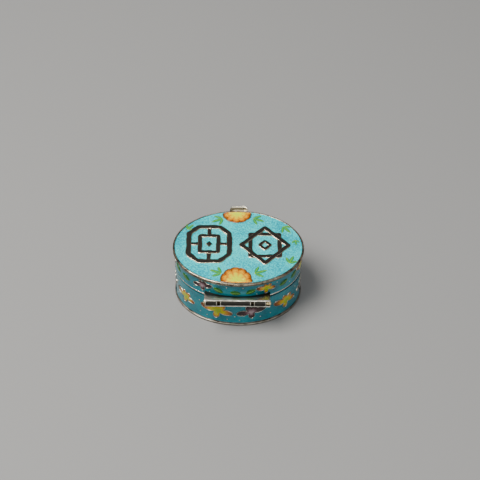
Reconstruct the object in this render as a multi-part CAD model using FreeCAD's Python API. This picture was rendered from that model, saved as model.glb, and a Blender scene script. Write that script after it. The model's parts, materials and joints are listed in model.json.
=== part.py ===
"""Oval hinged pill box in silver and enamel: a base, a lid on a barrel hinge, and their enamelled ornament.

Millimetres, +Z up. The origin is the centre of the underside. The hinge is on the -Y side and the thumb tab
on the +Y side. Every oval is an ellipse that follows the top rim's outer edge at a stated inset.
"""

import math
import os

import FreeCAD, Part

Vector = FreeCAD.Vector

# ---- overall sizes
box_length = 38.0
box_width = 30.0
box_height = 18.0  # to the top of the rim wire
seam_height = 11.0  # the lid's lower edge

# ---- insets of each layer from the top rim's outer edge
foot_inset = 0.2
rim_width = 0.65  # the inset at which the top's enamel starts
lid_mouth_inset = 0.45
base_mouth_inset = 0.78  # set back, so that a groove shows under the lid
enamel_inset = 0.6
wall_inset = 0.95  # the outer face of the silver walls
lid_wall_thickness = 0.45
base_wall_thickness = 0.65
bezel_thickness = 0.45

# ---- heights and thicknesses
seam_gap = 0.15  # air between the lid's mouth wire and the base's
base_plate_thickness = 0.7
base_plate_edge_radius = 0.25
foot_wire_height = 0.4
lid_mouth_height = 0.4
base_mouth_height = 0.5
foot_edge_radius = 0.18
mouth_edge_radius = 0.12
bezel_edge_radius = 0.18
bezel_below_seam = 3.0
bezel_above_seam = 1.6
rim_height = 1.1
rim_edge_radius = 0.42
top_plate_thickness = 0.5
top_enamel_thickness = 0.3
top_enamel_below_rim = 0.1
relief_above_rim = 0.15

# ---- hinge
hinge_standoff = 0.6  # from the rim's outer edge out to the pin's axis
hinge_rise = 0.2  # from the lid's lower edge up to the pin's axis
knuckle_radius = 0.95
pin_radius = 0.42
pin_running_clearance = 0.05  # between the pin and the lid's knuckles
knuckle_clearance = 0.06  # between a knuckle and the other half's strip
strip_thickness = 0.3
lid_strip_wrap = 117.0  # degrees round the barrel from the wall side
base_strip_wrap = 122.0
hinge_left = -9.3
end_knuckle_length = 3.4
middle_knuckle_length = 8.7
knuckle_gap = 0.9
strip_overhang_left = 0.2
strip_overhang_right = 1.2
pin_head_radius = 0.68
pin_head_length = 1.4
pin_tail_radius = 0.62
pin_tail_length = 0.3
pin_head_rounding = 0.3
head_clearance = 0.06
barrel_notch_clearance = 0.12

# ---- thumb tab and catch
tab_width = 5.3
tab_reach = 2.1  # out from the rim's outer edge
tab_thickness = 0.7
tab_lip_thickness = 0.65
tab_lip_below_rim = 0.1
tab_corner_radius = 1.3
tab_crest_radius = 0.25
catch_pip_radius = 0.6
catch_pip_height = 0.12
catch_pip_above_seam = 0.8

# ---- ornament
cell_height = 0.12  # enamel cells on the walls, above the ground enamel
cloison_height = 0.18  # their silver wire outlines
cloison_width = 0.16
dot_radius = 0.17
prism_depth, prism_height = 2.0, 0.6  # how far a cell's sides are cut, each way from the ground enamel
petal_width_share = 0.5  # a petal's width over its length
base_flower_rise, lid_flower_rise = -0.22, 0.35  # above the middle of each wall's enamel
petal_root_share = 0.85  # a petal's least half width, over the blossom's size
heart_length_share = 0.9  # the blossom's middle, over its size
heart_width_share = 0.75
top_flower_wire = 0.2
top_flower_x = -0.5
top_flower_off_rim = 0.7  # from the flower's centre to the enamel's edge
hinge_flower_half_width, hinge_flower_reach = 4.5, 5.3
tab_flower_half_width, tab_flower_reach = 4.2, 3.8
flower_above_enamel = 0.05
leaf_above_enamel = 0.03
# the left fret, a window lattice, and the right one, an eight-pointed star: centres, half sizes, bar widths
lattice_x, lattice_y = -8.5, 0.9
octagon_half_length, octagon_half_width, octagon_stroke = 6.7, 7.7, 1.6
octagon_chamfer = 3.3
window_half_length, window_half_width, window_stroke = 3.3, 3.9, 1.3
tie_stroke = 1.25
stud_half_length, stud_half_width = 1.1, 1.3
star_x, star_y = 7.7, 0.6
star_half_length, star_half_width, star_stroke = 7.8, 8.1, 2.0
square_half_length, square_half_width, square_stroke = 4.9, 5.1, 1.35
eye_half_length, eye_half_width, eye_stroke = 2.3, 2.4, 1.45

# ---- worked-out levels
axis_y = -(box_width / 2 + hinge_standoff)
axis_z = seam_height + hinge_rise
base_mouth_top = seam_height - seam_gap
base_mouth_low = base_mouth_top - base_mouth_height
lid_mouth_top = seam_height + lid_mouth_height
rim_low = box_height - rim_height
top_enamel_top = box_height - top_enamel_below_rim
top_enamel_low = top_enamel_top - top_enamel_thickness
top_plate_low = top_enamel_low - top_plate_thickness
foot_wire_top = base_plate_thickness + foot_wire_height
relief_top = box_height + relief_above_rim
base_middle = (foot_wire_top + base_mouth_low) / 2  # of the wall's enamel
lid_middle = (lid_mouth_top + rim_low) / 2
strip_radius = knuckle_radius + strip_thickness
lid_bore = pin_radius + pin_running_clearance
strip_left = hinge_left - strip_overhang_left
middle_left = hinge_left + end_knuckle_length + knuckle_gap
middle_right = middle_left + middle_knuckle_length
right_knuckle_left = middle_right + knuckle_gap
hinge_right = right_knuckle_left + end_knuckle_length
strip_right = hinge_right + strip_overhang_right


# ---- shapes shared by several pieces


def half_axes(inset):
    return box_length / 2 - inset, box_width / 2 - inset


def oval(inset, low, high):
    """A solid oval disc between two levels."""
    long_half, short_half = half_axes(inset)
    edge = Part.Ellipse(Vector(0, 0, low), long_half, short_half).toShape()
    return Part.Face(Part.Wire(edge)).extrude(Vector(0, 0, high - low))


def oval_ring(outer_inset, inner_inset, low, high):
    return oval(outer_inset, low, high).cut(oval(inner_inset, low, high))


def edges_at(shape, inset, levels):
    """The oval edges of a shape at an inset and any of several levels."""
    long_half = half_axes(inset)[0]
    found = []
    for edge in shape.Edges:
        box = edge.BoundBox
        at_inset = abs(box.ZMax - box.ZMin) < 1e-4 and abs(box.XMax - long_half) < 1e-3
        if at_inset and any(abs(box.ZMax - level) < 1e-4 for level in levels):
            found.append(edge)
    return found


def rounded(shape, radius, inset, levels):
    return shape.makeFillet(radius, edges_at(shape, inset, levels))


def solids_of(shapes):
    """Every solid of several shapes, as one shape for export."""
    return Part.makeCompound([solid for shape in shapes for solid in shape.Solids])


def fused(shapes):
    """Several overlapping solids as one shape."""
    first, rest = shapes[0], shapes[1:]
    return first.multiFuse(rest).removeSplitter() if rest else first


def along_x(radius, left, right):
    """A round bar on the hinge's axis."""
    return Part.makeCylinder(radius, right - left, Vector(left, axis_y, axis_z), Vector(1, 0, 0))


def ellipse_face(centre_u, centre_v, half_u, half_v, turn):
    """A flat ellipse in the XY plane; turn is in degrees from +X."""
    big, small = max(half_u, half_v), min(half_u, half_v)
    curve = Part.Ellipse(Vector(0, 0, 0), big, small)
    face = Part.Face(Part.Wire(curve.toShape()))
    extra = 0 if half_u >= half_v else 90
    face.rotate(Vector(0, 0, 0), Vector(0, 0, 1), turn + extra)
    face.translate(Vector(centre_u, centre_v, 0))
    return face


def leaf_face(length, width, turn, centre_u=0.0, centre_v=0.0):
    """A pointed leaf made of two arcs."""
    half, rise = length / 2, width / 2
    upper = Part.Arc(Vector(-half, 0, 0), Vector(0, rise, 0), Vector(half, 0, 0)).toShape()
    lower = Part.Arc(Vector(half, 0, 0), Vector(0, -rise, 0), Vector(-half, 0, 0)).toShape()
    face = Part.Face(Part.Wire([upper, lower]))
    face.rotate(Vector(0, 0, 0), Vector(0, 0, 1), turn)
    face.translate(Vector(centre_u, centre_v, 0))
    return face


def blossom_face(petals, size, grow=0.0):
    """A flat blossom: ellipses that meet at its centre for petals, and one for its middle."""
    faces = [ellipse_face(0, 0, heart_length_share * size + grow, heart_width_share * size + grow, 0)]
    for turn, reach in petals:
        half = reach * size / 2
        wide = max(half * petal_width_share, petal_root_share * size)
        angle = math.radians(turn)
        x, y = math.cos(angle) * half, math.sin(angle) * half
        faces.append(ellipse_face(x, y, half + grow, wide + grow, turn))
    return fused(faces)


def wall_place(turn, level, inset):
    """A flat face's placement on the wall, at a turn in degrees from -Y towards +X, and the wall's normal."""
    long_half, short_half = half_axes(inset)
    t = math.radians(turn)
    point = Vector(long_half * math.sin(t), -short_half * math.cos(t), level)
    normal = Vector(short_half * math.sin(t), -long_half * math.cos(t), 0).normalize()
    side = Vector(-normal.y, normal.x, 0)
    up = Vector(0, 0, 1)
    matrix = FreeCAD.Matrix(
        side.x, up.x, normal.x, point.x,
        side.y, up.y, normal.y, point.y,
        side.z, up.z, normal.z, point.z,
        0, 0, 0, 1,
    )
    return FreeCAD.Placement(matrix), normal


def on_wall(face, turn, level, height):
    """A flat face carried to the wall and pressed through it, kept only in a skin of a given height."""
    placement, normal = wall_place(turn, level, enamel_inset)
    placed = face.copy()
    placed.Placement = placement.multiply(face.Placement)
    placed.translate(normal * -prism_depth)
    skin = oval_ring(enamel_inset - height, enamel_inset, 0, box_height)
    return placed.extrude(normal * (prism_depth + prism_height)).common(skin)


# ---- base


def base_plate():
    plate = oval(foot_inset, 0, base_plate_thickness)
    return rounded(plate, base_plate_edge_radius, foot_inset, (0, base_plate_thickness))


def base_foot_wire():
    inset = (foot_inset + enamel_inset) / 2
    wire = oval_ring(inset, wall_inset, base_plate_thickness, foot_wire_top)
    return rounded(wire, foot_edge_radius, inset, (foot_wire_top,))


def base_wall():
    return oval_ring(wall_inset, wall_inset + base_wall_thickness, base_plate_thickness, base_mouth_top)


def barrel_notch():
    """The room that the turning barrel needs in the mouth wires."""
    radius = knuckle_radius + barrel_notch_clearance
    return along_x(radius, strip_left, strip_right)


def base_mouth_wire():
    wire = oval_ring(base_mouth_inset, wall_inset, base_mouth_low, base_mouth_top)
    wire = rounded(wire, mouth_edge_radius, base_mouth_inset, (base_mouth_top,))
    return wire.cut(barrel_notch()).cut(base_strip_blank())


def base_bezel():
    outer = wall_inset + base_wall_thickness
    low, high = seam_height - bezel_below_seam, seam_height + bezel_above_seam
    collar = oval_ring(outer, outer + bezel_thickness, low, high)
    return rounded(collar, bezel_edge_radius, outer, (high,))


def base_enamel():
    band = oval_ring(enamel_inset, wall_inset, foot_wire_top, base_mouth_low)
    return band.cut(base_strip_blank())


def catch_pip():
    """A low pip on the front of the bezel that the lid snaps over."""
    front = half_axes(wall_inset + base_wall_thickness)[1]
    back = front - catch_pip_radius
    level = seam_height + catch_pip_above_seam
    length = catch_pip_radius + catch_pip_height
    pip = Part.makeCylinder(catch_pip_radius, length, Vector(0, back, level), Vector(0, 1, 0))
    return pip.cut(oval(wall_inset + base_wall_thickness, 0, box_height))


# ---- hinge


def strip_blank(side, wrap, web_level):
    """A hinge strip before it is fitted: a web from the wall that wraps round the barrel.

    side is 1 for the lid's strip, over the barrel, and -1 for the base's, under it. web_level is the
    distance from the axis to the web's face on the barrel's side.
    """
    inner, outer = knuckle_radius, strip_radius
    reach = hinge_standoff + wall_inset + box_width / 4
    angle = math.radians(wrap)
    meets = math.asin(web_level / inner)

    def at(radius, turn):
        return Vector(strip_left, axis_y + radius * math.cos(turn), axis_z + side * radius * math.sin(turn))

    def web(y, z):
        return Vector(strip_left, axis_y + y, axis_z + side * z)

    half_turn = (angle + math.pi / 2) / 2
    edges = [
        Part.Arc(at(outer, angle), at(outer, half_turn), at(outer, math.pi / 2)).toShape(),
        Part.LineSegment(at(outer, math.pi / 2), web(reach, outer)).toShape(),
        Part.LineSegment(web(reach, outer), web(reach, web_level)).toShape(),
        Part.LineSegment(web(reach, web_level), at(inner, meets)).toShape(),
        Part.Arc(at(inner, meets), at(inner, (meets + angle) / 2), at(inner, angle)).toShape(),
        Part.LineSegment(at(inner, angle), at(outer, angle)).toShape(),
    ]
    return Part.Face(Part.Wire(edges)).extrude(Vector(strip_right - strip_left, 0, 0))


def lid_strip_blank():
    return strip_blank(1, lid_strip_wrap, lid_mouth_top - axis_z)


def base_strip_blank():
    return strip_blank(-1, base_strip_wrap, axis_z - base_mouth_top)


def clear_of(left, right):
    """The running room round the other half's knuckle."""
    return along_x(knuckle_radius + knuckle_clearance, left, right)


def lid_hinge_strip():
    strip = lid_strip_blank().cut(oval(wall_inset, 0, box_height))
    return strip.cut(clear_of(middle_left - knuckle_gap, middle_right + knuckle_gap))


def base_hinge_strip():
    strip = base_strip_blank().cut(oval(wall_inset, 0, box_height))
    strip = strip.cut(clear_of(strip_left, middle_left))
    return strip.cut(clear_of(middle_right, strip_right))


def knuckle(left, length, bore):
    return along_x(knuckle_radius, left, left + length).cut(along_x(bore, left, left + length))


def hinge_pin():
    head_left = hinge_right + head_clearance
    tail_right = hinge_left - head_clearance
    shank = along_x(pin_radius, tail_right, head_left)
    head = along_x(pin_head_radius, head_left, head_left + pin_head_length)
    tail = along_x(pin_tail_radius, tail_right - pin_tail_length, tail_right)
    outer_edges = [edge for edge in head.Edges if edge.BoundBox.XMin > head_left + pin_head_length / 2]
    return shank.fuse(head.makeFillet(pin_head_rounding, outer_edges)).fuse(tail)


# ---- lid


def lid_wall():
    return oval_ring(wall_inset, wall_inset + lid_wall_thickness, seam_height, top_plate_low)


def lid_mouth_wire():
    wire = oval_ring(lid_mouth_inset, wall_inset, seam_height, lid_mouth_top)
    wire = rounded(wire, mouth_edge_radius, lid_mouth_inset, (seam_height, lid_mouth_top))
    return wire.cut(barrel_notch())


def lid_enamel():
    band = oval_ring(enamel_inset, wall_inset, lid_mouth_top, rim_low)
    return band.cut(lid_strip_blank()).cut(tab_blank())


def lid_top_plate():
    return oval(rim_width, top_plate_low, top_enamel_low)


def lid_rim():
    """A heavy wire with a step inside it, in which the top plate sits."""
    ring = oval_ring(0, rim_width, rim_low, box_height)
    ring = rounded(ring, rim_edge_radius, 0, (rim_low, box_height))
    return ring.fuse(oval_ring(rim_width, wall_inset, rim_low, top_plate_low)).removeSplitter()


def tab_blank():
    """The thumb tab before it is fitted to the wall: a shelf with an upturned lip and rounded corners."""
    back, front = box_width / 4, box_width / 2 + tab_reach
    low, high = rim_low - tab_thickness, box_height - tab_lip_below_rim
    left = -tab_width / 2
    shelf = Part.makeBox(tab_width, front - back, tab_thickness, Vector(left, back, low))
    lip = Part.makeBox(tab_width, tab_lip_thickness, high - low, Vector(left, front - tab_lip_thickness, low))
    plan = Part.makeBox(tab_width, front - back, high - low, Vector(left, back, low))
    upright = [edge for edge in plan.Edges if edge.BoundBox.ZLength > tab_thickness]
    corners = [edge for edge in upright if edge.BoundBox.YMin > front - 0.01]
    return shelf.fuse(lip).removeSplitter().common(plan.makeFillet(tab_corner_radius, corners))


def thumb_tab():
    tab = tab_blank().cut(oval(wall_inset, 0, box_height))
    front = box_width / 2 + tab_reach
    high = box_height - tab_lip_below_rim
    top_edges = [edge for edge in tab.Edges if edge.BoundBox.ZMin > high - 0.01]
    crest = [edge for edge in top_edges if edge.BoundBox.YMax > front - 0.01]
    return tab.makeFillet(tab_crest_radius, crest)


# ---- ornament on the lid's top


def relief(points):
    """An upright block of the relief, by its corners in plan."""
    corners = [Vector(x, y, top_enamel_low) for x, y in points]
    face = Part.Face(Part.makePolygon(corners + corners[:1]))
    return face.extrude(Vector(0, 0, relief_top - top_enamel_low))


def rectangle(x, y, half_x, half_y):
    left, right, near, far = x - half_x, x + half_x, y - half_y, y + half_y
    return relief([(left, near), (right, near), (right, far), (left, far)])


def lozenge(x, y, half_x, half_y):
    return relief([(x - half_x, y), (x, y - half_y), (x + half_x, y), (x, y + half_y)])


def octagon(x, y, half_x, half_y, chamfer):
    corners = []
    for side_x, side_y in ((1, 1), (-1, 1), (-1, -1), (1, -1)):
        near_y = (x + side_x * half_x, y + side_y * (half_y - chamfer))
        near_x = (x + side_x * (half_x - chamfer), y + side_y * half_y)
        corners += [near_y, near_x] if side_x == side_y else [near_x, near_y]
    return relief(corners)


def frame(shape, x, y, half_x, half_y, stroke):
    return shape(x, y, half_x, half_y).cut(shape(x, y, half_x - stroke, half_y - stroke))


def left_fret():
    """A window lattice: an octagon frame tied by four bars to a rectangle round a small lozenge."""
    x, y = lattice_x, lattice_y
    inner_chamfer = octagon_chamfer - octagon_stroke * (2 - math.sqrt(2))
    outside = octagon(x, y, octagon_half_length, octagon_half_width, octagon_chamfer)
    inner_x, inner_y = octagon_half_length - octagon_stroke, octagon_half_width - octagon_stroke
    outside = outside.cut(octagon(x, y, inner_x, inner_y, inner_chamfer))
    window = frame(rectangle, x, y, window_half_length, window_half_width, window_stroke)
    ties = [outside, window]
    for side in (1, -1):
        reach_x = (inner_x - window_half_length) / 2 + octagon_stroke / 2
        reach_y = (inner_y - window_half_width) / 2 + octagon_stroke / 2
        ties.append(rectangle(x + side * (window_half_length + reach_x), y, reach_x, tie_stroke / 2))
        ties.append(rectangle(x, y + side * (window_half_width + reach_y), tie_stroke / 2, reach_y))
    return Part.makeCompound([fused(ties), lozenge(x, y, stud_half_length, stud_half_width)])


def right_fret():
    """An eight-pointed star, a lozenge frame over a square one, with a small lozenge frame in its middle."""
    star = frame(lozenge, star_x, star_y, star_half_length, star_half_width, star_stroke)
    square = frame(rectangle, star_x, star_y, square_half_length, square_half_width, square_stroke)
    eye = frame(lozenge, star_x, star_y, eye_half_length, eye_half_width, eye_stroke)
    return Part.makeCompound([fused([star, square]), eye])


def top_flower(side, grow):
    """A half blossom against the rim; side is -1 at the hinge and 1 at the tab."""
    sizes = {-1: (hinge_flower_half_width, hinge_flower_reach), 1: (tab_flower_half_width, tab_flower_reach)}
    half_width, reach = sizes[side]
    centre = side * (half_axes(rim_width)[1] - top_flower_off_rim)
    high = top_enamel_top + flower_above_enamel
    face = ellipse_face(top_flower_x, centre, half_width + grow, reach + grow, 0)
    face.translate(Vector(0, 0, top_enamel_low))
    return face.extrude(Vector(0, 0, high - top_enamel_low)).common(oval(rim_width, top_enamel_low, high))


def top_flower_edge(side):
    """The flat wire bent round a half blossom."""
    return top_flower(side, top_flower_wire).cut(top_flower(side, 0))


# place in plan, turn, length and width of each leaf on the lid's top
TOP_LEAVES = [
    (-6.4, -10.0, 155, 3.2, 1.3),
    (6.4, -9.9, 20, 3.4, 1.3),
    (-6.3, 10.7, 205, 3.2, 1.3),
    (5.9, 11.0, -20, 3.2, 1.3),
    (-14.2, 7.8, 45, 2.4, 1.1),
    (14.1, 7.1, -50, 3.0, 1.2),
    (16.6, 1.9, -80, 1.8, 0.9),
    (15.2, -5.0, 65, 2.8, 1.3),
]


def top_leaves():
    height = top_enamel_top + leaf_above_enamel - top_enamel_low
    leaves = []
    for x, y, turn, length, width in TOP_LEAVES:
        face = leaf_face(length, width, turn, x, y)
        face.translate(Vector(0, 0, top_enamel_low))
        leaves.append(face.extrude(Vector(0, 0, height)))
    return Part.makeCompound(leaves)


def lid_top_enamel(inlays):
    field = oval(rim_width, top_enamel_low, top_enamel_top)
    for inlay in inlays:
        field = field.cut(inlay)
    return field


# ---- ornament on the walls

# turn and reach of each petal, in units of the blossom's size
ORANGE_PETALS = [(168, 4.1), (258, 2.4), (350, 3.4), (52, 2.5), (112, 2.4)]
ROSE_PETALS = [(190, 3.5), (275, 2.2), (15, 3.6), (60, 2.3), (115, 2.3)]

# turn round the wall and size of each blossom
BASE_ORANGE = [(-121, 0.85), (-55, 1.0), (-18.4, 1.27), (49.5, 1.08), (110, 0.85), (173, 0.95)]
BASE_ROSE = [(-154, 0.9), (-88, 0.85), (12.2, 1.2), (80, 0.85), (140, 0.85)]
LID_ORANGE = [(-88, 0.72), (26.5, 0.76), (76, 0.75), (168, 0.85)]
LID_ROSE = [(-150, 0.82), (-33.3, 0.85), (125, 0.8)]

# turn round the lid's wall, rise above the middle of its enamel, and slope of each leaf
LID_LEAVES = [
    (-17.7, 0.05, -25),
    (-2.2, -0.35, -8),
    (11.5, 0.05, 25),
    (45, -0.15, 20),
    (60, 0.25, 30),
    (92, 0.05, -25),
    (107, -0.15, 20),
    (141, 0.05, 25),
    (152, -0.15, -20),
    (182.5, 0.05, 20),
    (195.5, -0.15, -25),
    (-134, 0.05, -20),
    (-119, -0.35, 15),
    (-104, 0.05, 25),
    (-69, 0.25, -25),
    (-54, -0.15, -20),
]
wall_leaf_length, wall_leaf_width = 3.0, 1.4

# turn, and rise above the middle of the wall's enamel, of each small wire dot
BASE_DOTS = [
    (-36, -2.7), (-29, -3.3), (-37, 1.9), (-9.5, -3.5), (-2.6, -2.1), (1.6, -3.7), (21, -2.9), (31, -2.5),
    (29, 1.7), (66, -2.9), (64, 2.5), (95, 2.3), (96, -2.7), (125, 2.5), (126, -2.9), (156, 2.3), (158, -2.7),
    (190, 2.5), (191, -2.7), (-138, 2.3), (-137, -2.9), (-105, 2.3), (-104, -2.7), (-72, -2.7), (-71, 2.5),
]
LID_DOTS = [
    (-43, -1.6), (-26, -1.3), (-10, 1.7), (4.5, 1.6), (17, -1.3), (37, 1.4), (53, -1.4), (84, -1.6),
    (99, 1.6), (115, -1.5), (135, 1.6), (159, -1.5), (188, 1.6), (-159, -1.5), (-126, 1.7),
    (-111, -1.6), (-79, -1.5), (-61, 1.6),
]


def blossoms(places, petals, level):
    return solids_of([on_wall(blossom_face(petals, size), turn, level, cell_height) for turn, size in places])


def blossom_outlines(places, petals, level):
    """The wires round blossoms: each is the grown outline less the outline itself."""
    rings = []
    for turn, size in places:
        ring = blossom_face(petals, size, cloison_width).cut(blossom_face(petals, size))
        rings.append(on_wall(ring, turn, level, cloison_height))
    return rings


def wall_leaves():
    leaves = []
    for turn, rise, slope in LID_LEAVES:
        leaf = leaf_face(wall_leaf_length, wall_leaf_width, slope)
        leaves.append(on_wall(leaf, turn, lid_middle + rise, cell_height))
    return solids_of(leaves)


def wall_dots(places, middle):
    dot = ellipse_face(0, 0, dot_radius, dot_radius, 0)
    return solids_of([on_wall(dot, turn, middle + rise, cell_height) for turn, rise in places])


def build():
    """Every piece by its name."""
    frets = {"fret_panel_left": left_fret(), "fret_panel_right": right_fret()}
    flowers = {"lid_flower_hinge_side": top_flower(-1, 0), "lid_flower_tab_side": top_flower(1, 0)}
    flower_edges = solids_of([top_flower_edge(-1), top_flower_edge(1)])
    leaves = top_leaves()
    inlays = [*frets.values(), *flowers.values(), flower_edges, leaves]
    base_level = base_middle + base_flower_rise
    base_wires = blossom_outlines(BASE_ORANGE, ORANGE_PETALS, base_level)
    base_wires += blossom_outlines(BASE_ROSE, ROSE_PETALS, base_level)
    lid_level = lid_middle + lid_flower_rise
    lid_wires = blossom_outlines(LID_ORANGE, ORANGE_PETALS, lid_level)
    lid_wires += blossom_outlines(LID_ROSE, ROSE_PETALS, lid_level)
    return {
        "base_plate": base_plate(),
        "base_foot_wire": base_foot_wire(),
        "base_wall": base_wall(),
        "base_mouth_wire": base_mouth_wire(),
        "base_bezel": base_bezel(),
        "catch_pip": catch_pip(),
        "base_enamel": base_enamel(),
        "base_orange_blossoms": blossoms(BASE_ORANGE, ORANGE_PETALS, base_level),
        "base_rose_blossoms": blossoms(BASE_ROSE, ROSE_PETALS, base_level),
        "base_blossom_wires": solids_of(base_wires),
        "base_wire_dots": wall_dots(BASE_DOTS, base_middle),
        "base_hinge_strip": base_hinge_strip(),
        "base_knuckle": knuckle(middle_left, middle_knuckle_length, pin_radius),
        "hinge_pin": hinge_pin(),
        "lid_wall": lid_wall(),
        "lid_mouth_wire": lid_mouth_wire(),
        "lid_enamel": lid_enamel(),
        "lid_orange_blossoms": blossoms(LID_ORANGE, ORANGE_PETALS, lid_level),
        "lid_rose_blossoms": blossoms(LID_ROSE, ROSE_PETALS, lid_level),
        "lid_blossom_wires": solids_of(lid_wires),
        "lid_wall_leaves": wall_leaves(),
        "lid_wire_dots": wall_dots(LID_DOTS, lid_middle),
        "lid_top_plate": lid_top_plate(),
        "lid_rim": lid_rim(),
        "lid_top_enamel": lid_top_enamel(inlays),
        "lid_top_leaves": leaves,
        "lid_flower_edges": flower_edges,
        **frets,
        **flowers,
        "lid_hinge_strip": lid_hinge_strip(),
        "lid_knuckle_left": knuckle(hinge_left, end_knuckle_length, lid_bore),
        "lid_knuckle_right": knuckle(right_knuckle_left, end_knuckle_length, lid_bore),
        "thumb_tab": thumb_tab(),
    }


os.makedirs("parts", exist_ok=True)
for name, shape in build().items():
    shape.exportStep("parts/" + name + ".step")
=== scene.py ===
import json
import math

import bmesh
import bpy
import numpy as np
from mathutils import Matrix, Vector, noise


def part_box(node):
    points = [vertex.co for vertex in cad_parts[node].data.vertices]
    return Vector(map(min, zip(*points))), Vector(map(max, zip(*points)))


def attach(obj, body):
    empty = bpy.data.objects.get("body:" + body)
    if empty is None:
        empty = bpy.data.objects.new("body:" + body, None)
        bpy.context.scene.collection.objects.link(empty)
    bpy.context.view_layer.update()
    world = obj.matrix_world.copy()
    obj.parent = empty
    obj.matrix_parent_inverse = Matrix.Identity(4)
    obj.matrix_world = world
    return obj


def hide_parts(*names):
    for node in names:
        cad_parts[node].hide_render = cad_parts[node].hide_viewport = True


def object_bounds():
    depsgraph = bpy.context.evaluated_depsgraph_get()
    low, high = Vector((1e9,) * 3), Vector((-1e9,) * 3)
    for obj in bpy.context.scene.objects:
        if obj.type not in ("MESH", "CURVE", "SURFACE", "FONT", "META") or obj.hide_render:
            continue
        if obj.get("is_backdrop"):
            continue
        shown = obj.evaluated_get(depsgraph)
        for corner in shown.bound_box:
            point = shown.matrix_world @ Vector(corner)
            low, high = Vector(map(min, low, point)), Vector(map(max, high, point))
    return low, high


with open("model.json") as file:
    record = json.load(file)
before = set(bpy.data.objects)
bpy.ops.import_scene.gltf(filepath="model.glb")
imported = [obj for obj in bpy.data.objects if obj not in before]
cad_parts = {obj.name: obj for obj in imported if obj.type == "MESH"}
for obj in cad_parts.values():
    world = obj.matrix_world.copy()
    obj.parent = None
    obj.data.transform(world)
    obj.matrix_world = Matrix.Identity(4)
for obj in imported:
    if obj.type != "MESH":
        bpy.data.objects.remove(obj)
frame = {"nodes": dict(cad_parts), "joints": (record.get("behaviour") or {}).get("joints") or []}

cad_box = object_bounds()

# -------------------------------- the base plate
# The bottom is a flat oval of silver sheet, sawn out and filed smooth. Its edge stands out past the wall
# as a thin foot, and long handling has left it scratched and patchily tarnished, with painted shade in its
# corners.

mm = 0.001
FULL_TURN = 360


def node_box(node):
    """The two corners of a node's box, in millimetres."""
    return [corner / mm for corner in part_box(node)]


half_length, half_width, _ = node_box("lid_rim")[1]


def inset_of(node):
    """How far a node's outermost oval lies inside the rim."""
    return half_length - node_box(node)[1].x


def levels_of(node):
    """The levels of a node's underside and top."""
    low, high = node_box(node)
    return low.z, high.z


def oval_point(turn, inset, level):
    """A point at a turn in degrees from the hinge side, on the oval a given inset inside the rim."""
    angle = math.radians(turn)
    return ((half_length - inset) * math.sin(angle), -(half_width - inset) * math.cos(angle), level)


def sway(turn, amount, phase):
    """The slight unevenness of hand work round the oval."""
    angle = math.radians(turn)
    waves = 0.5 * math.sin(3 * angle + phase) + 0.3 * math.sin(7 * angle + 2.1 * phase)
    return amount * (waves + 0.2 * math.sin(16 * angle + 3.7 * phase))


def rounded_section(corners, steps=5):
    """A closed section whose corners (inset, level, radius) become arcs."""
    section = []
    for index, (inset, level, radius) in enumerate(corners):
        corner = Vector((inset, level))
        if not radius:
            section.append((inset, level))
            continue
        before = (Vector(corners[index - 1][:2]) - corner).normalized()
        after = (Vector(corners[(index + 1) % len(corners)][:2]) - corner).normalized()
        half_angle = before.angle(after) / 2
        centre = corner + (before + after).normalized() * radius / math.sin(half_angle)
        first = corner + before * radius / math.tan(half_angle) - centre
        last = corner + after * radius / math.tan(half_angle) - centre
        for step in range(steps + 1):
            section.append(tuple(centre + first.slerp(last, step / steps) * radius))
    return section


def swept_faces(sections, count, closed=True):
    """The faces between like sections of so many points each, with a flat end to a run that isn't closed."""
    faces = []
    for number in range(sections if closed else sections - 1):
        here, there = number * count, (number + 1) % sections * count
        for index in range(count):
            following = (index + 1) % count
            faces.append((here + index, there + index, there + following, here + following))
    if not closed:
        faces += [tuple(range(count)), tuple(range((sections - 1) * count, sections * count))]
    return faces


def oval_ring(section, unevenness=0.0, phase=0.0):
    """The points and faces of a ring with one closed section all the way round."""
    points = []
    for turn in range(FULL_TURN):
        out = sway(turn, unevenness, phase)
        up = sway(turn, unevenness, phase + 1.3)
        points += [oval_point(turn, inset - out, level + up) for inset, level in section]
    return points, swept_faces(FULL_TURN, len(section))


def oval_disc(node, edge=0.0):
    """A node's oval plate: a ring with its edge rounded, joined across by one flat face above and below."""
    low, high = levels_of(node)
    outer, inner = inset_of(node), half_width - 2.0
    section = rounded_section([(outer, low, edge), (outer, high, edge), (inner, high, 0), (inner, low, 0)])
    points, faces = oval_ring(section)
    count = len(section)
    faces = [face for face in faces if {face[0] % count, face[3] % count} != {count - 2, count - 1}]
    top, bottom = (tuple(range(first, len(points), count)) for first in (count - 2, count - 1))
    return points, faces + [top, bottom]


def make_piece(name, shape, body, material, node, crease=40):
    """A named piece that rides on a body and stands for a CAD node.

    The shape is its points in millimetres, its faces and, for glass colour or painted light and shade, a
    tint at each point.
    """
    mesh = bpy.data.meshes.new(name)
    mesh.from_pydata([(x * mm, y * mm, z * mm) for x, y, z in shape[0]], [], shape[1])
    if len(shape) > 2:
        mesh.attributes.new("tint", "FLOAT", "POINT").data.foreach_set("value", shape[2])
    joined = bmesh.new()
    joined.from_mesh(mesh)
    bmesh.ops.remove_doubles(joined, verts=joined.verts, dist=1e-8)
    bmesh.ops.recalc_face_normals(joined, faces=joined.faces)
    joined.to_mesh(mesh)
    joined.free()
    mesh.shade_smooth()
    mesh.set_sharp_from_angle(angle=math.radians(crease))
    mesh.materials.append(material)
    piece = bpy.data.objects.new(name, mesh)
    bpy.context.scene.collection.objects.link(piece)
    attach(piece, body)
    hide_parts(node)


def add_node(tree, kind, inputs=None, **settings):
    """A shader node. Each input is a value or another node's socket."""
    made = tree.nodes.new("ShaderNode" + kind)
    for key, value in settings.items():
        setattr(made, key, value)
    for key, value in (inputs or {}).items():
        if isinstance(value, bpy.types.NodeSocket):
            tree.links.new(value, made.inputs[key])
        else:
            made.inputs[key].default_value = value
    return made


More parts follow.
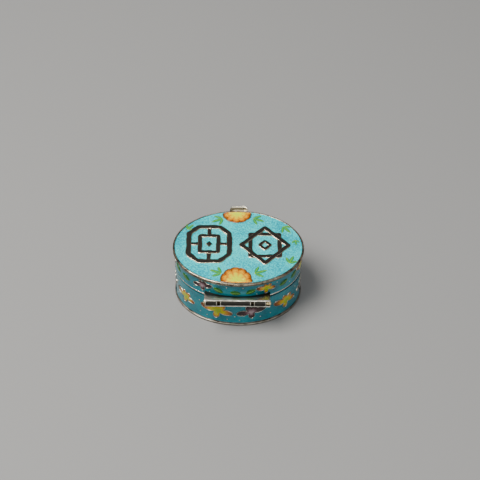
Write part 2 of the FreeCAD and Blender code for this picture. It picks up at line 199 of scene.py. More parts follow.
def mottle(tree, place, scale, detail, roughness=0.5):
    """Cloudy noise from 0 to 1."""
    inputs = {"Vector": place, "Scale": scale, "Detail": detail, "Roughness": roughness}
    return add_node(tree, "TexNoise", inputs).outputs["Fac"]


def mixed(tree, share, first, second, blend="MIX"):
    """Two colours or amounts, blended."""
    inputs = {"Fac": share, "Color1": first, "Color2": second}
    return add_node(tree, "MixRGB", inputs, blend_type=blend).outputs[0]


def scaled(tree, amount, factor, added=0.0):
    """An amount times a factor, with another amount added."""
    return add_node(tree, "Math", {0: amount, 1: factor, 2: added}, operation="MULTIPLY_ADD").outputs[0]


def ranged(tree, amount, start, end, low=0.0, high=1.0):
    """An amount between a start and an end, laid over the range from low to high."""
    inputs = {"Value": amount, "From Min": start, "From Max": end, "To Min": low, "To Max": high}
    return add_node(tree, "MapRange", inputs).outputs[0]


def colour_ramp(tree, factor, stops):
    """Colours blended along a factor; each stop is a position and a colour."""
    ramp = add_node(tree, "ValToRGB", {"Fac": factor})
    elements = ramp.color_ramp.elements
    while len(elements) < len(stops):
        elements.new(0.5)
    for element, (position, colour) in zip(elements, stops):
        element.position = position
        element.color = (*colour, 1)
    return ramp.outputs["Color"]


def press(tree, surface, height, strength, depth, socket="Normal"):
    """Fine relief in a surface, or in the clear coat over it, that is too small to model."""
    bump = add_node(tree, "Bump", {"Height": height, "Strength": strength, "Distance": depth})
    tree.links.new(bump.outputs[0], surface.inputs[socket])


def new_material(name, constants):
    """A material's shader, with constants on its own sockets, and the place and tint that vary it."""
    material = bpy.data.materials.new(name)
    material.use_nodes = True
    tree = material.node_tree
    surface = tree.nodes["Principled BSDF"]
    for socket, value in constants.items():
        surface.inputs[socket].default_value = value
    place = add_node(tree, "TexCoord").outputs["Object"]
    tint = add_node(tree, "Attribute", attribute_name="tint").outputs["Fac"]
    return material, tree, surface, place, tint


BLACK, WHITE = (0, 0, 0), (1, 1, 1)


def silver(name, bright, dark, tarnish, roughness, grain=0.25, drawn=1.0):
    """Worn metal: bright where it is rubbed and dark in soft tarnish patches, with painted shade in its
    corners and where its tint asks for it.
    """
    material, tree, surface, place, painted_shade = new_material(name, {"Metallic": 1.0})
    drawn_out = add_node(tree, "Mapping", {"Vector": place, "Scale": (drawn, 1, 1)}).outputs[0]
    patches = mottle(tree, drawn_out, 620, 5, 0.55)
    spots = colour_ramp(tree, patches, [(0.52 - tarnish, BLACK), (0.92 - tarnish, WHITE)])
    # Ambient occlusion darkens the corners and recesses in the colour: painted shade.
    corners = add_node(tree, "AmbientOcclusion", {"Distance": 0.0009}, samples=8).outputs["AO"]
    painted_corner_shade = colour_ramp(tree, corners, [(0.35, WHITE), (0.9, BLACK)])
    # The tint, on the pieces that have one, darkens the colour as painted shade; the patches are tarnish.
    wear_and_painted_light = mixed(tree, 1.0, mixed(tree, 1.0, spots, painted_corner_shade, "LIGHTEN"), painted_shade, "LIGHTEN")
    tree.links.new(mixed(tree, wear_and_painted_light, (*bright, 1), (*dark, 1)), surface.inputs["Base Color"])
    rubbed = ranged(tree, patches, 0.3, 0.75, roughness, roughness + 0.2)
    tree.links.new(rubbed, surface.inputs["Roughness"])
    along = add_node(tree, "Mapping", {"Vector": place, "Scale": (900, 2600, 5200)}).outputs[0]
    scratches = mottle(tree, along, 1.0, 5)
    dents = mottle(tree, place, 1500, 2)
    press(tree, surface, mixed(tree, 0.5, scratches, dents), grain, 0.00006)
    return material


worn_silver = silver("worn_silver", (0.40, 0.36, 0.29), (0.09, 0.076, 0.058), 0.18, 0.28)
plate_edge = 0.26
shape = oval_disc("base_plate", plate_edge)
make_piece("base_plate_sheet", shape, "base", worn_silver, "base_plate")

# -------------------------------- the silver body of the base
# A strip of sheet is bent round, soldered to the plate, and lined with a thinner collar that stands up
# into the lid. The inside is thinly gilt and brushed, and has gone soft and cloudy with age.

soft_silver = silver(
    "softly_gilt_silver", (0.80, 0.66, 0.40), (0.52, 0.40, 0.21), 0.12, 0.32, grain=0.5, drawn=0.3
)
wall_inset = inset_of("base_wall")
bezel_inset = inset_of("base_bezel")
bezel_thickness = 0.45


def bent_strip(name, node, inner, radii, material, unevenness=0.0, phase=0.0):
    """A strip or wire bent round the oval, from its node's outside to an inset.

    The radii of its corners go round from the one that is outside and below.
    """
    outer = inset_of(node)
    low, high = levels_of(node)
    corners = zip((outer, outer, inner, inner), (low, high, high, low), radii)
    shape = oval_ring(rounded_section(list(corners)), unevenness, phase)
    make_piece(name, shape, node.split("_")[0], material, node)


bent_strip("base_wall_sheet", "base_wall", bezel_inset, (0, 0.05, 0, 0), soft_silver)
bent_strip(
    "bezel_collar", "base_bezel", bezel_inset + bezel_thickness, (0, 0.18, 0.16, 0.1),
    soft_silver, unevenness=0.015, phase=2
)
frame["nodes"]["catch_pip"].data.materials.clear()
frame["nodes"]["catch_pip"].data.materials.append(soft_silver)

# -------------------------------- the wires round the base
# Half-round silver wire is soldered round the foot, and a thinner one round the mouth, set back so that
# a dark groove shows under the lid. Both are coloured nearly black, painted shade over some tarnish, with a
# worn edge here and there.

# This wire's near-black colour is painted shade, for the foot and the mouth that sit in shadow.
painted_shade_wire = silver("tarnished_wire_with_painted_shade", (0.26, 0.23, 0.19), (0.02, 0.018, 0.015), 0.3, 0.4)
bent_strip(
    "foot_wire", "base_foot_wire", wall_inset, (0, 0.17, 0, 0), painted_shade_wire,
    unevenness=0.02, phase=1
)
bent_strip("base_mouth_edge", "base_mouth_wire", wall_inset, (0, 0.08, 0, 0), painted_shade_wire)

# -------------------------------- the base's ground enamel
# Blue-green glass is laid between the wires and fired till it flows, so it climbs a little where it
# meets the silver. It is even and glossy, darker where it lies thick, with fine flecks and cloudy streaks.

WET_GLASS = {"Specular IOR Level": 0.0, "Coat Weight": 0.9, "Coat IOR": 1.5}


def wall_enamel():
    """Glossy enamel on a wall: mottled glass over brushed silver, under a smooth fired skin."""
    material, tree, surface, place, _ = new_material(
        "teal_enamel", {**WET_GLASS, "Metallic": 0.3, "Roughness": 0.3, "Coat Roughness": 0.04}
    )
    fleck = mottle(tree, place, 4200, 2)
    thickness = mixed(tree, 0.4, mottle(tree, place, 260, 4, 0.55), fleck)
    colour = colour_ramp(tree, thickness, [(0.36, (0.0, 0.11, 0.15)), (0.66, (0.004, 0.27, 0.32))])
    tree.links.new(colour, surface.inputs["Base Color"])
    press(tree, surface, fleck, 0.5, 0.00005)
    press(tree, surface, mottle(tree, place, 420, 1), 0.35, 0.00012, "Coat Normal")
    return material


teal_enamel = wall_enamel()
ENAMEL_ROWS = 14
climb = 0.09  # how far the glass climbs out on to a wire
climb_reach = 0.28


def ground_enamel(name, node, phase):
    """A wall's enamel: a slightly full face that curls out at both edges."""
    inset = inset_of(node)
    low, high = levels_of(node)
    section = [(wall_inset, high), (wall_inset, low)]
    for row in range(ENAMEL_ROWS + 1):
        level = low + (high - low) * (0.5 - 0.5 * math.cos(math.pi * row / ENAMEL_ROWS))
        edge = min(level - low, high - level)
        section.append((inset - climb * math.exp(-((edge / climb_reach) ** 2)), level))
    shape = oval_ring(section, unevenness=0.02, phase=phase)
    make_piece(name, shape, node.split("_")[0], teal_enamel, node)


ground_enamel("base_ground_enamel", "base_enamel", phase=3)

# -------------------------------- the base's blossoms and their wires
# Each blossom is a cell of flat wire bent to its outline, filled with coloured glass in tints that run
# together, and fired full, so every petal is crowned. The wire stands just proud of the glass. There are
# two sorts: yellow that turns orange brown at the tips, and grey rose with near-black maroon tips.

enamel_inset = inset_of("base_enamel")


def wall_place(turn, middle):
    """A function from (across, up, out), on the face of the wall's enamel at a turn, to a point in space."""
    angle = math.radians(turn)
    long_half, short_half = half_length - enamel_inset, half_width - enamel_inset
    centre = Vector((long_half * math.sin(angle), -short_half * math.cos(angle)))
    normal = Vector((short_half * math.sin(angle), -long_half * math.cos(angle))).normalized()
    side = Vector((-normal.y, normal.x))

    def place(across, up, out):
        start = centre + side * across
        a, b = long_half + out, short_half + out
        square = (normal.x / a) ** 2 + (normal.y / b) ** 2
        slope = start.x * normal.x / a**2 + start.y * normal.y / b**2
        excess = (start.x / a) ** 2 + (start.y / b) ** 2 - 1
        travel = (-slope + math.sqrt(slope**2 - square * excess)) / square
        point = start + normal * travel
        return (point.x, point.y, middle + up)

    return place


def cell(reach, rise, tint, place, spokes=96, rings=9, sink=0.06):
    """A crowned cell: reach(angle) is its outline; rise and tint vary with the angle and the share out."""
    points, tints = [place(0, 0, rise(0, 0))], [tint(0, 0)]
    angles = [math.tau * spoke / spokes for spoke in range(spokes)]
    for ring in range(1, rings + 1):
        share = math.sin(0.5 * math.pi * ring / rings)
        for angle in angles:
            across, up = (share * reach(angle) * trig(angle) for trig in (math.cos, math.sin))
            points.append(place(across, up, rise(angle, share)))
            tints.append(tint(angle, share))
    for angle in angles:
        points.append(place(reach(angle) * math.cos(angle), reach(angle) * math.sin(angle), -sink))
    tints += [tint(angle, 1) for angle in angles]
    points.append(place(0, 0, -sink))
    tints.append(tint(0, 0))
    last, rim = len(points) - 1, 1 + rings * spokes
    faces = []
    for spoke in range(spokes):
        following = (spoke + 1) % spokes
        faces += [(0, 1 + spoke, 1 + following), (last, rim + following, rim + spoke)]
        for inner in range(1, rim, spokes):
            outer = inner + spokes
            faces.append((inner + spoke, outer + spoke, outer + following, inner + following))
    return points, faces, tints


def gathered(shapes):
    """Several shapes as one, with their tints."""
    points, faces, tints = [], [], []
    for shape in shapes:
        start = len(points)
        points += shape[0]
        faces += [tuple(index + start for index in face) for face in shape[1]]
        tints += shape[2] if len(shape) > 2 else [0.0] * len(shape[0])
    return points, faces, tints


# Each petal is its direction in degrees and its length, as a multiple of the heart's radius.
ORANGE_PETALS = [(168, 4.1), (258, 2.4), (350, 3.4), (52, 2.5), (112, 2.4)]
ROSE_PETALS = [(190, 3.5), (275, 2.2), (15, 3.6), (60, 2.3), (115, 2.3)]
petal_root, petal_tip = 0.14, 1.0
cell_edge_rise, cell_crown, seed_crown = 0.05, 0.17, 0.05


def blossom_reach(petals, size):
    """The outline of a blossom, the farthest of its heart and its round-ended petals at each angle."""

    def reach(angle):
        farthest = size / math.hypot(math.cos(angle), math.sin(angle) / 0.85)
        for turn, length in petals:
            off = angle - math.radians(turn)
            middle = (petal_tip + petal_root) / 2 * length * size
            half_long = (petal_tip - petal_root) / 2 * length * size
            half_wide = max(0.24 * length, 0.72) * size
            cosine, sine = math.cos(off), math.sin(off)
            square = (cosine / half_long) ** 2 + (sine / half_wide) ** 2
            slope = middle * cosine / half_long**2
            inside = slope**2 - square * ((middle / half_long) ** 2 - 1)
            if cosine > 0 and inside >= 0:
                farthest = max(farthest, (slope + math.sqrt(inside)) / square)
        return farthest

    return reach


def blossom(turn, size, petals, level):
    """One crowned blossom on a wall. Its tint runs from 0 in the middle to about 1 at the longest tip."""
    reach = blossom_reach(petals, size)
    longest = max(length for _, length in petals) * size

    def rise(angle, share):
        seed = seed_crown * math.exp(-((share * reach(angle) / (0.4 * size)) ** 2))
        crown = cell_crown * math.sqrt(max(0, 1 - share**2.5)) * (0.6 + 0.4 * share)
        return cell_edge_rise + crown + seed

    def tint(angle, share):
        return 0.35 * share**3 + 0.75 * share * reach(angle) / longest

    return cell(reach, rise, tint, wall_place(turn, level))


cell_wire_width = 0.15
cell_wire_rise = 0.2
cell_wire_sink = 0.03
WIRE_STEPS = 7


def cell_wire(reach, place, spokes=120):
    """A half-round wire along an outline."""
    outline = []
    for spoke in range(spokes):
        angle = math.tau * spoke / spokes
        outline.append(Vector((math.cos(angle), math.sin(angle))) * (reach(angle) + cell_wire_width / 2))
    points = []
    for spoke, spot in enumerate(outline):
        along = (outline[(spoke + 1) % spokes] - outline[spoke - 1]).normalized()
        outward = Vector((along.y, -along.x))
        for step in range(WIRE_STEPS):
            lean = math.pi * step / (WIRE_STEPS - 1)
            middle = spot + outward * math.cos(lean) * cell_wire_width / 2
            points.append(place(middle.x, middle.y, cell_wire_rise * math.sin(lean) - cell_wire_sink))
    return points, swept_faces(spokes, WIRE_STEPS)


def strayed(tree, amount, cloud, streak):
    """An amount moved up and down by a cloud."""
    centred = add_node(tree, "Math", {0: cloud, 1: 0.5}, operation="SUBTRACT").outputs[0]
    return scaled(tree, centred, streak, amount)


def glass(name, stops, streak):
    """Coloured glass in a cell, shaded along its tint, with streaks where the colours ran together."""
    material, tree, surface, place, tint = new_material(
        name, {**WET_GLASS, "Metallic": 0.25, "Roughness": 0.28, "Coat Roughness": 0.05}
    )
    cloud = mottle(tree, place, 1900, 4, 0.6)
    colour = colour_ramp(tree, strayed(tree, tint, cloud, streak), stops)
    tree.links.new(colour, surface.inputs["Base Color"])
    press(tree, surface, cloud, 0.35, 0.00005)
    return material


orange_glass = glass("orange_glass", [
    (0.06, (0.26, 0.40, 0.0)),
    (0.30, (0.52, 0.44, 0.0)),
    (0.50, (0.48, 0.22, 0.0)),
    (0.68, (0.32, 0.09, 0.0)),
    (0.92, (0.14, 0.035, 0.0)),
], 0.5)
rose_glass = glass("rose_glass", [
    (0.02, (0.36, 0.27, 0.28)),
    (0.20, (0.20, 0.11, 0.13)),
    (0.36, (0.04, 0.008, 0.012)),
    (0.80, (0.010, 0.002, 0.004)),
], 0.35)
bright_wire = silver("bright_cell_wire", (0.62, 0.58, 0.48), (0.22, 0.19, 0.13), 0.1, 0.24)


def set_blossoms(body, level, orange, rose):
    """Both sorts of blossom on one half of the box, by turn and heart's radius, and all their wires."""
    wires = []
    for sort, places, petals, filling in (
        ("orange", orange, ORANGE_PETALS, orange_glass),
        ("rose", rose, ROSE_PETALS, rose_glass),
    ):
        shape = gathered([blossom(turn, size, petals, level) for turn, size in places])
        name, node = body + "_" + sort + "_petals", body + "_" + sort + "_blossoms"
        make_piece(name, shape, body, filling, node)
        wires += [cell_wire(blossom_reach(petals, size), wall_place(turn, level)) for turn, size in places]
    node = body + "_blossom_wires"
    make_piece(body + "_cell_wires", gathered(wires), body, bright_wire, node)


BASE_ORANGE = [(-121, 0.85), (-55, 1.0), (-18.4, 1.27), (49.5, 1.08), (110, 0.85), (173, 0.95)]
BASE_ROSE = [(-154, 0.9), (-88, 0.85), (12.2, 1.2), (80, 0.85), (140, 0.85)]
base_middle = sum(levels_of("base_enamel")) / 2
set_blossoms("base", base_middle - 0.22, BASE_ORANGE, BASE_ROSE)

# -------------------------------- the base's dots
# Between the blossoms, snips of the same wire are set on end in the glass and ground off nearly level
# with it. They show as small bright dots, in no strict order.

# Each dot is its turn and its height above the middle of the enamel.
BASE_DOTS = [
    (-36, -2.7), (-29, -3.3), (-37, 1.9), (-9.5, -3.5), (-2.6, -2.1), (1.6, -3.7), (21, -2.9),
    (31, -2.5), (29, 1.7), (66, -2.9), (64, 2.5), (95, 2.3), (96, -2.7), (125, 2.5), (126, -2.9),
    (156, 2.3), (158, -2.7), (190, 2.5), (191, -2.7), (-138, 2.3), (-137, -2.9), (-105, 2.3),
    (-104, -2.7), (-72, -2.7), (-71, 2.5),
]
dot_radius = 0.17
dot_rise = 0.12


def wire_dots(body, places, middle):
    """Small domes on a wall."""
    dots = []
    for turn, height in places:
        dots.append(cell(
            lambda angle: dot_radius,
            lambda angle, share: dot_rise * math.sqrt(max(0, 1 - share**2)),
            lambda angle, share: 0,
            wall_place(turn, middle + height),
            spokes=16,
            rings=4,
        ))
    make_piece(body + "_wire_ends", gathered(dots), body, bright_wire, body + "_wire_dots")


wire_dots("base", BASE_DOTS, base_middle)

# -------------------------------- the hinge's barrel and strips
# Three lengths of silver tube turn on one pin: the long middle one belongs to the base and the two end
# ones to the lid. Each half is carried by a strip of sheet that is dressed round the tubes and soldered
# to its wall. The tubes are painted black as shade but for painted highlights at their ends, and the strips
# shine on top and are painted darker towards the wall as shade.

barrel_silver = silver(
    "barrel_silver", (0.70, 0.65, 0.54), (0.022, 0.02, 0.017), 0.14, 0.28, grain=0.35, drawn=0.3
)
axis_y, axis_z = (place / mm for place in frame["joints"][0]["pos_m"][1:])
pin_radius = 0.42
pressed_fit, running_fit = 0.005, 0.05
AROUND = 40


def turned(profile, closed):
    """A turned piece on the hinge's axis; the profile is a list of (x, radius), from end to end."""
    points = []
    for x, radius in profile:
        for step in range(AROUND):
            angle = math.tau * step / AROUND
            points.append((x, axis_y + radius * math.cos(angle), axis_z + radius * math.sin(angle)))
    return points, swept_faces(len(profile), AROUND, closed)


def tube(node, bore):
    """A knuckle: a tube with soft ends and a shallow ring filed near each of them."""
    low, high = node_box(node)
    radius = (high.z - low.z) / 2
    soft, nick = 0.1, 0.03
    ring, ring_half, ring_depth = 0.32, 0.06, 0.045
    painted_highlight_end, painted_shade = 0.14, 0.97
    half = [
        (soft, bore),
        (0, bore + soft),
        (0, radius - soft),
        (nick, radius - nick),
        (soft, radius),
        (ring - ring_half, radius),
        (ring, radius - ring_depth),
        (ring + ring_half, radius),
        (2 * ring, radius),
    ]
    profile = [(low.x + x, around) for x, around in half]
    profile += [(high.x - x, around) for x, around in reversed(half)]
    points, faces = turned(profile, closed=True)
    # The tint paints the tube black as shade, leaving a painted highlight at each end.
    tints = [0.0 if min(x - low.x, high.x - x) < painted_highlight_end else painted_shade for x, _, _ in points]
    return points, faces, tints


KNUCKLES = {"base_knuckle": pressed_fit, "lid_knuckle_left": running_fit, "lid_knuckle_right": running_fit}
for node, fit in KNUCKLES.items():
    body = node.split("_")[0]
    make_piece(node + "_tube", tube(node, pin_radius + fit), body, barrel_silver, node)

hinge_silver = silver(
    "hinge_silver", (0.88, 0.84, 0.72), (0.05, 0.043, 0.034), 0.12, 0.24, grain=1.0, drawn=0.2
)
strip_outer = node_box("lid_hinge_strip")[1].z - axis_z
knuckle_radius = node_box("base_knuckle")[1].z - axis_z
running_room = 0.06
lip_outer_softness, lip_inner_softness = 0.06, 0.04
end_taper, end_columns = 0.12, 1.5
crest_waver, wrap_waver = 0.02, 3
STRIP_COLUMNS, STRIP_ARCS = 90, 12


def wall_depth(x):
    """How far the wall behind the hinge or the tab stands from the long axis, with a little sunk in it."""
    return (half_width - wall_inset - 0.1) * math.sqrt(1 - (x / (half_length - wall_inset)) ** 2)


def strip(body, side, wrap_degrees):
    """A hinge strip as sections along X: out from the wall, level with the barrel's crest, and round it."""
    held = [node_box(node) for node in KNUCKLES if node.startswith(body)]
    low, high = node_box(body + "_hinge_strip")
    web = abs(levels_of(body + "_mouth_wire")[1] - axis_z)
    points, tints = [], []
    for column in range(STRIP_COLUMNS + 1):
        x = low.x + (high.x - low.x) * column / STRIP_COLUMNS
        end = end_taper * max(0, 1 - min(column, STRIP_COLUMNS - column) / end_columns)
        touches = any(left.x <= x <= right.x for left, right in held)
        inner = knuckle_radius + (0 if touches else running_room)
        outer = strip_outer - end * 0.5 + crest_waver * noise.noise((x * 0.9, 3.0 * side, 0))
        wrap = math.radians(wrap_degrees - 14 * end + wrap_waver * noise.noise((x * 0.6, 7.0 * side, 2)))
        reach = -wall_depth(x) - axis_y
        start = math.asin(web / inner)
        section = [(reach, web), (reach, outer), (0.5 * reach + 0.1, outer + 0.015)]
        outside = [outer] * STRIP_ARCS + [outer - lip_outer_softness]
        inside = [inner + lip_inner_softness] + [inner] * STRIP_ARCS
        for radii, first, last in ((outside, math.pi / 2, wrap), (inside, wrap, start)):
            for step, radius in enumerate(radii):
                lean = first + (last - first) * step / STRIP_ARCS
                section.append((radius * math.cos(lean), radius * math.sin(lean)))
        points += [(x, axis_y + y, axis_z + side * z) for y, z in section]
        # The tint is painted shade, darkest against the wall and clear round the front of the barrel.
        tints += [min(1, max(0, 0.25 + y * 2.2)) for y, z in section]
    return points, swept_faces(STRIP_COLUMNS + 1, len(section), closed=False), tints


for body, side, wrap_degrees in (("base", -1, 122), ("lid", 1, 117)):
    shape = strip(body, side, wrap_degrees)
    make_piece(body + "_dressed_strip", shape, body, hinge_silver, body + "_hinge_strip")

# -------------------------------- the hinge's pin
# A rod of yellow metal is pushed through the three tubes. Its head, on the right, is a short thick button
# that was burred over with a hammer, and its other end is riveted just enough to stay in.

brass = silver("worn_brass", (0.84, 0.66, 0.34), (0.045, 0.03, 0.016), 0.06, 0.24, grain=0.5)
pin_low, pin_high = node_box("hinge_pin")
head_radius = pin_high.z - axis_z
head_length, tail_length = 1.4, 0.3
head, tail = pin_high.x - head_length, pin_low.x + tail_length
pin_profile = [
    (pin_low.x, 0.0),
    (pin_low.x, 0.4),
    (pin_low.x + 0.08, 0.56),
    (tail - 0.06, 0.6),
    (tail, 0.55),
    (tail, pin_radius),
    (head, pin_radius),
    (head, head_radius - 0.08),
    (head + 0.07, head_radius),
    (head + 0.5, head_radius - 0.01),
    (head + 0.62, head_radius - 0.07),
    (head + 0.74, head_radius - 0.01),
    (pin_high.x - 0.26, head_radius - 0.02),
    (pin_high.x - 0.1, head_radius - 0.11),
    (pin_high.x - 0.02, head_radius - 0.3),
    (pin_high.x, 0.0),
]
points, faces = turned(pin_profile, closed=False)
# The shank's tint paints it dark as shade where it shows between the tubes.
painted_shade_shank = [float(tail - 0.01 < x < head + 0.01) for x, _, _ in points]
make_piece("headed_pin", (points, faces, painted_shade_shank), "base", brass, "hinge_pin")

# -------------------------------- the silver body of the lid
# The lid is made like the base, from a strip and a plate, and its inside is gilt too. A flat wire is
# soldered round its mouth: only its thin lower edge shows, rubbed bright.

wire_silver = silver("wire_silver", (0.82, 0.78, 0.68), (0.045, 0.04, 0.032), 0.1, 0.2)
lid_sheet = 0.45
bent_strip("lid_wall_sheet", "lid_wall", wall_inset + lid_sheet, (0, 0, 0, 0.08), soft_silver)
make_piece("lid_top_sheet", oval_disc("lid_top_plate"), "lid", soft_silver, "lid_top_plate")
bent_strip(
    "lid_mouth_edge", "lid_mouth_wire", wall_inset, (0.12, 0.12, 0, 0), wire_silver,
    unevenness=0.015, phase=5
)

# -------------------------------- the wire round the lid's top
# A heavy wire, rounded on its outer side and stepped inside to hold the plate, frames the top. It was
# dressed down with a hammer, so it wavers slightly; its crest is polished, and below the crest it is painted
# dark, tarnish with painted shade.

rim_wire = silver("rim_wire", (0.56, 0.48, 0.34), (0.04, 0.034, 0.026), 0.26, 0.2, grain=0.5)
rim_low, rim_high = levels_of("lid_rim")
top_inset = inset_of("lid_top_plate")
rim_shelf = levels_of("lid_top_plate")[0]
rim_round, rim_lip_round = 0.42, 0.14
polished_depth = 0.3
section = rounded_section([
    (0, rim_low, rim_round),
    (0, rim_high, rim_round),
    (top_inset, rim_high, rim_lip_round),
    (top_inset, rim_shelf, 0),
    (wall_inset, rim_shelf, 0),
    (wall_inset, rim_low, 0),
], steps=8)
points, faces = oval_ring(section, unevenness=0.035, phase=0.9)
# Below the polished crest the tint darkens the wire with depth: tarnish with painted shade.
tarnish_and_painted_shade = [min(0.9, max(0, (rim_high - polished_depth - z) * 2.2)) for _, _, z in points]
make_piece("top_rim_wire", (points, faces, tarnish_and_painted_shade), "lid", rim_wire, "lid_rim")

# -------------------------------- the thumb tab
# A scrap of thick silver is soldered under the front of the rim and bent up at its end, for a thumbnail.
# Its corners are filed round and its lip is dented and worn bright by use.

tab_silver = silver("tab_silver", (0.95, 0.88, 0.68), (0.10, 0.08, 0.05), 0.08, 0.22, grain=1.0)
tab_low, tab_high = node_box("thumb_tab")
tab_corner = 1.3
shelf_thickness = 0.7
lip_thickness = 0.65
TAB_COLUMNS = 44


def thumb_tab():
    """Sections from side to side; each is the tab's L cut short by its rounded corner."""
    points = []
    for column in range(TAB_COLUMNS + 1):
        share = math.sin(math.pi * (column / TAB_COLUMNS - 0.5))
        x = tab_high.x * share
        over = max(0, abs(x) - (tab_high.x - tab_corner))
        front = tab_high.y - tab_corner + math.sqrt(max(0.02, tab_corner**2 - over**2))
        slim = 0.5 - 0.5 * (1 - share**6) ** 0.5
        dents = 0.03 * noise.noise((x, 0, 4)) + 0.05 * noise.noise((x * 2.3, 5, 1))
        low, crest = tab_low.z + 0.12 * slim, tab_high.z - 0.5 * slim + dents
        shelf = tab_low.z + shelf_thickness
        back, lip_back = wall_depth(x), front - lip_thickness
        soft, nick = 0.2, 0.07
        section = [
            (back, low),
            (front - soft, low),
            (front - 0.06, low + 0.08),
            (front, low + soft + 0.1),
            (front + 0.02, 0.5 * (low + crest)),
            (front, crest - soft),
            (front - nick, crest - nick),
            (front - soft, crest),
            (lip_back + soft, crest),
            (lip_back + 0.05, crest - 0.08),
            (lip_back - 0.03, 0.5 * (crest + shelf)),
            (lip_back - 0.14, shelf + 0.03),
            (lip_back - 0.4, shelf),
            (back, shelf),
        ]
        points += [(x, y, z) for y, z in section]
    return points, swept_faces(TAB_COLUMNS + 1, len(section), closed=False)


make_piece("thumb_lip", thumb_tab(), "lid", tab_silver, "thumb_tab", crease=60)

# -------------------------------- the lid's wall: enamel and ornament
# The lid's wall is enamelled like the base's, with smaller blossoms joined by pointed leaves. The leaves
# are deep green with a paler rib, and have no wire of their own.

ground_enamel("lid_ground_enamel", "lid_enamel", phase=6)
LID_ORANGE = [(-88, 0.72), (26.5, 0.76), (76, 0.75), (168, 0.85)]
LID_ROSE = [(-150, 0.82), (-33.3, 0.85), (125, 0.8)]
lid_middle = sum(levels_of("lid_enamel")) / 2
set_blossoms("lid", lid_middle + 0.35, LID_ORANGE, LID_ROSE)

# Each leaf is its turn, its height above the middle of the enamel and its slope in degrees.
LID_LEAVES = [
    (-17.7, 0.05, -25), (-2.2, -0.35, -8), (11.5, 0.05, 25), (45, -0.15, 20), (60, 0.25, 30),
    (92, 0.05, -25), (107, -0.15, 20), (141, 0.05, 25), (152, -0.15, -20), (182.5, 0.05, 20),
    (195.5, -0.15, -25), (-134, 0.05, -20), (-119, -0.35, 15), (-104, 0.05, 25), (-69, 0.25, -25),
    (-54, -0.15, -20),
]
wall_leaf_length, wall_leaf_width, wall_leaf_crown = 3.1, 1.75, 0.2


def leaf_reach(length, width, slope, teeth):
    """A pointed leaf's outline, two arcs that meet at its ends, with small teeth if asked."""
    half, rise = length / 2, width / 2
    bend = (half**2 + rise**2) / (2 * rise)

    def reach(angle):
        off = angle - math.radians(slope)
        up = abs(math.sin(off))
        drop = (bend - rise) * up
        plain = -drop + math.sqrt(drop**2 + half**2)
        return plain * (1 - teeth * (0.5 + 0.5 * math.cos(9 * off)) * up)

    return reach


def leaf(place, length, width, slope, crown, teeth=0.0):
    """A crowned leaf with a sunk rib. Its tint is 0 along the ribs and 1 between them."""
    reach = leaf_reach(length, width, slope, teeth)

    def rib(angle, share):
        off = angle - math.radians(slope)
        along, aside = (share * reach(angle) * trig(off) for trig in (math.cos, math.sin))
        middle = math.exp(-((aside / (0.07 * width)) ** 2))
        side = (along / length - 0.55 * abs(aside) / width) * 5
        branch = math.exp(-(((side % 1) - 0.5) / 0.16) ** 2) * min(1, abs(aside) / (0.12 * width))
        return max(middle, 0.7 * branch)

    def rise(angle, share):
        return 0.03 + crown * math.sqrt(max(0, 1 - share**3)) - 0.3 * crown * rib(angle, share) * (1 - share)

    return cell(reach, rise, lambda angle, share: 1 - rib(angle, share), place, spokes=72, rings=10)


leaf_glass = glass("leaf_glass", [
    (0.08, (0.20, 0.42, 0.03)),
    (0.34, (0.02, 0.19, 0.006)),
    (0.85, (0.003, 0.075, 0.006)),
], 0.45)
leaves = []
for turn, height, slope in LID_LEAVES:
    place = wall_place(turn, lid_middle + height)
    leaves.append(leaf(place, wall_leaf_length, wall_leaf_width, slope, wall_leaf_crown))
make_piece("lid_wall_leaf_cells", gathered(leaves), "lid", leaf_glass, "lid_wall_leaves")

LID_DOTS = [
    (-43, -1.6), (-26, -1.3), (-10, 1.7), (4.5, 1.6), (17, -1.3), (37, 1.4), (53, -1.4), (84, -1.6),
    (99, 1.6), (115, -1.5), (135, 1.6), (159, -1.5), (188, 1.6), (-159, -1.5), (-126, 1.7),
    (-111, -1.6), (-79, -1.5), (-61, 1.6),
]
wire_dots("lid", LID_DOTS, lid_middle)

# -------------------------------- the frets on the lid's top
# Two pieces of openwork are sawn from thick silver and soldered to the plate before the enamel is laid
# round them. Their tops are black with age, and their sides and edges are painted bright as a highlight,
# brightest on the near side. On the left is a window lattice, and on the right an eight-pointed star.

enamel_low, enamel_top = levels_of("lid_top_enamel")
relief_top = levels_of("fret_panel_left")[1]
SAW_STEP = 0.2
QUARTERS = ((1, 1), (-1, 1), (-1, -1), (1, -1))


def lozenge(x, y, half_x, half_y):
    return [(x - half_x, y), (x, y - half_y), (x + half_x, y), (x, y + half_y)]


def rectangle(x, y, half_x, half_y):
    return [(x + side_x * half_x, y + side_y * half_y) for side_x, side_y in QUARTERS]


def octagon(x, y, half_x, half_y, chamfer):
    """The corners of a rectangle with its own corners cut off."""
    corners = []
    for side_x, side_y in QUARTERS:
        near_y = (x + side_x * half_x, y + side_y * (half_y - chamfer))
        near_x = (x + side_x * (half_x - chamfer), y + side_y * half_y)
        corners += [near_y, near_x] if side_x == side_y else [near_x, near_y]
    return corners


